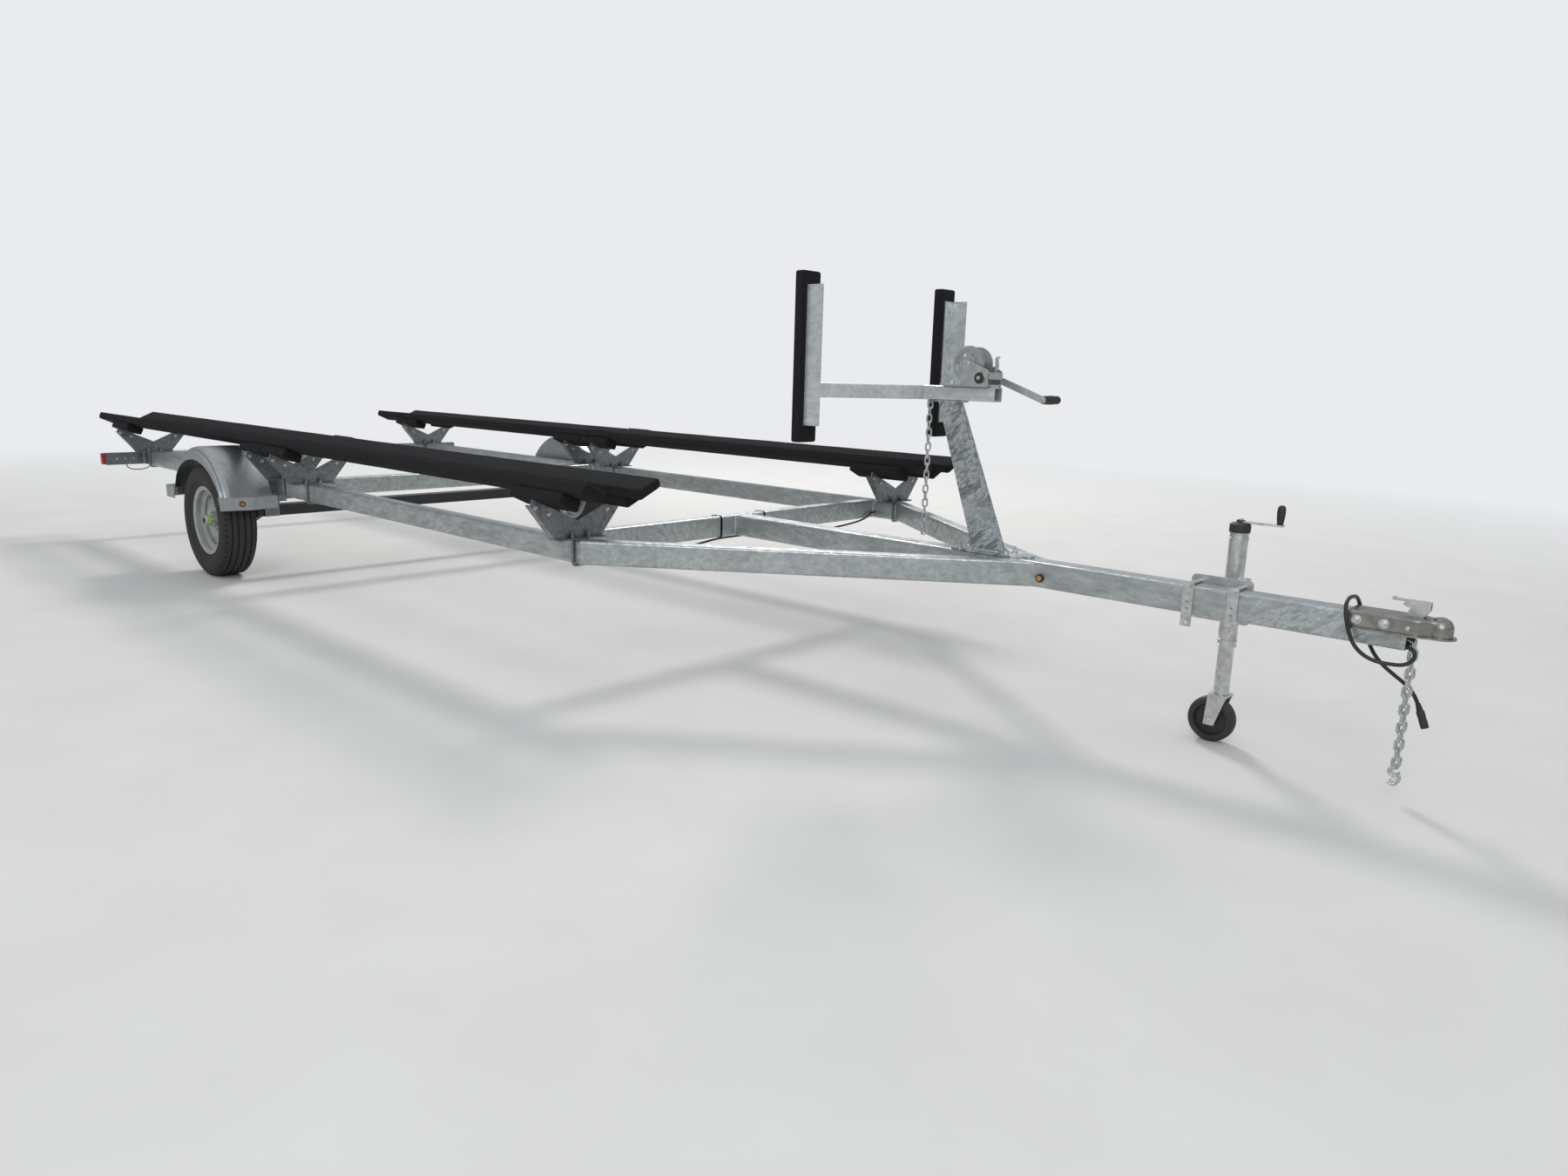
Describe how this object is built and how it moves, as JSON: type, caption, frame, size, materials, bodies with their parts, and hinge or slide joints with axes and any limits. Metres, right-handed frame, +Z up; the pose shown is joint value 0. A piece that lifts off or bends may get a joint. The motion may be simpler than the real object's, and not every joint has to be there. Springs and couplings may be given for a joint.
{
  "type": "boat trailer",
  "caption": "Galvanised single-axle bunk trailer for a pontoon boat: tube frame with a drawn-in tongue, carpeted bunks on V brackets, bow stop with hand winch, and swivel jack.",
  "frame": {"origin": "on the floor, under the middle of the overall length and width", "axes": "+X forward towards the coupler, +Y to the trailer's left, +Z up"},
  "size_m": [7.638, 2.58, 1.507],
  "materials": {
    "galvanised": "hot-dip galvanised, spangled",
    "fender_steel": "galvanised sheet, satin",
    "black_steel": "black paint",
    "zinc": "bright zinc plate",
    "carpet": "black bunk carpet",
    "tyre": "black rubber",
    "wheel_paint": "silver paint",
    "hub_steel": "zinc with a lime-green cap",
    "lamp": "red lens",
    "amber": "amber lens",
    "black_plastic": "black plastic",
    "grip": "black ribbed grip",
    "cord": "black jacket"
  },
  "bodies": {
    "frame": {"rail_right": "galvanised", "rail_left": "galvanised", "arm_right": "galvanised", "arm_left": "galvanised", "tongue": "galvanised", "front_crossmember": "galvanised", "middle_crossmember": "galvanised", "rear_crossmember": "galvanised", "axle_beam": "black_steel", "axle_hangers": "galvanised", "trailing_arms": "black_steel", "fender_right": "fender_steel", "fender_left": "fender_steel", "fender_supports": "galvanised", "bunk_brackets": "galvanised", "bunk_u_bolts": "zinc", "bunk_blocks": "carpet", "outer_bunks": "carpet", "inner_bunks": "carpet", "light_brackets": "galvanised", "tail_lights": "lamp", "marker_lights": "amber", "winch_post": "galvanised", "stop_tube": "galvanised", "guide_arms": "galvanised", "guide_boards": "carpet", "winch_frame": "zinc", "coupler": "zinc", "coupler_latch": "zinc", "jack_mount": "zinc", "jack_clamps": "zinc", "bow_chain": "zinc", "safety_chains": "zinc", "wiring_cord": "cord", "cord_plug": "black_plastic", "loom": "cord", "lamp_lead_right": "cord", "lamp_lead_left": "cord"},
    "wheel_right": {"tyre_right": "tyre", "rim_right": "wheel_paint", "hub_right": "hub_steel"},
    "wheel_left": {"tyre_left": "tyre", "rim_left": "wheel_paint", "hub_left": "hub_steel"},
    "drum": {"winch_gear": "zinc", "winch_drum": "zinc"},
    "crank": {"winch_crank": "zinc"},
    "grip": {"winch_grip": "grip"},
    "jack": {"jack_tube": "zinc", "jack_handle": "black_plastic"},
    "leg": {"jack_leg": "zinc"},
    "caster": {"jack_fork": "zinc"},
    "caster_wheel": {"jack_wheel": "black_plastic"}
  },
  "joints": [
    {"name": "wheel_right_spin", "type": "hinge", "parent": "frame", "child": "wheel_right", "pos_m": [-1.689, -1.18, 0.3], "axis": [0, 1, 0], "continuous": true},
    {"name": "wheel_left_spin", "type": "hinge", "parent": "frame", "child": "wheel_left", "pos_m": [-1.689, 1.18, 0.3], "axis": [0, 1, 0], "continuous": true},
    {"name": "drum_spin", "type": "hinge", "parent": "frame", "child": "drum", "pos_m": [2.236, 0, 1.2055], "axis": [0, 1, 0], "continuous": true},
    {"name": "crank_spin", "type": "hinge", "parent": "frame", "child": "crank", "pos_m": [2.29573, 0, 1.1581], "axis": [0, 1, 0], "continuous": true},
    {"name": "grip_spin", "type": "hinge", "parent": "crank", "child": "grip", "pos_m": [2.48648, 0.116, 1.08867], "axis": [0, 1, 0], "continuous": true},
    {"name": "jack_swing", "type": "hinge", "parent": "frame", "child": "jack", "pos_m": [3.169, 0.1, 0.4965], "axis": [0, 1, 0], "range_deg": [0, 90]},
    {"name": "leg_slide", "type": "slide", "parent": "jack", "child": "leg", "axis": [0, 0, -1], "range_m": [-0.155, 0.095]},
    {"name": "caster_swivel", "type": "hinge", "parent": "leg", "child": "caster", "pos_m": [3.169, 0.15, 0.16], "axis": [0, 0, 1], "continuous": true},
    {"name": "caster_roll", "type": "hinge", "parent": "caster", "child": "caster_wheel", "pos_m": [3.149, 0.15, 0.076], "axis": [0, 1, 0], "continuous": true}
  ],
  "couplings": [
    {"joint": "crank_spin", "follows": "drum_spin", "ratio": -4.5455}
  ]
}
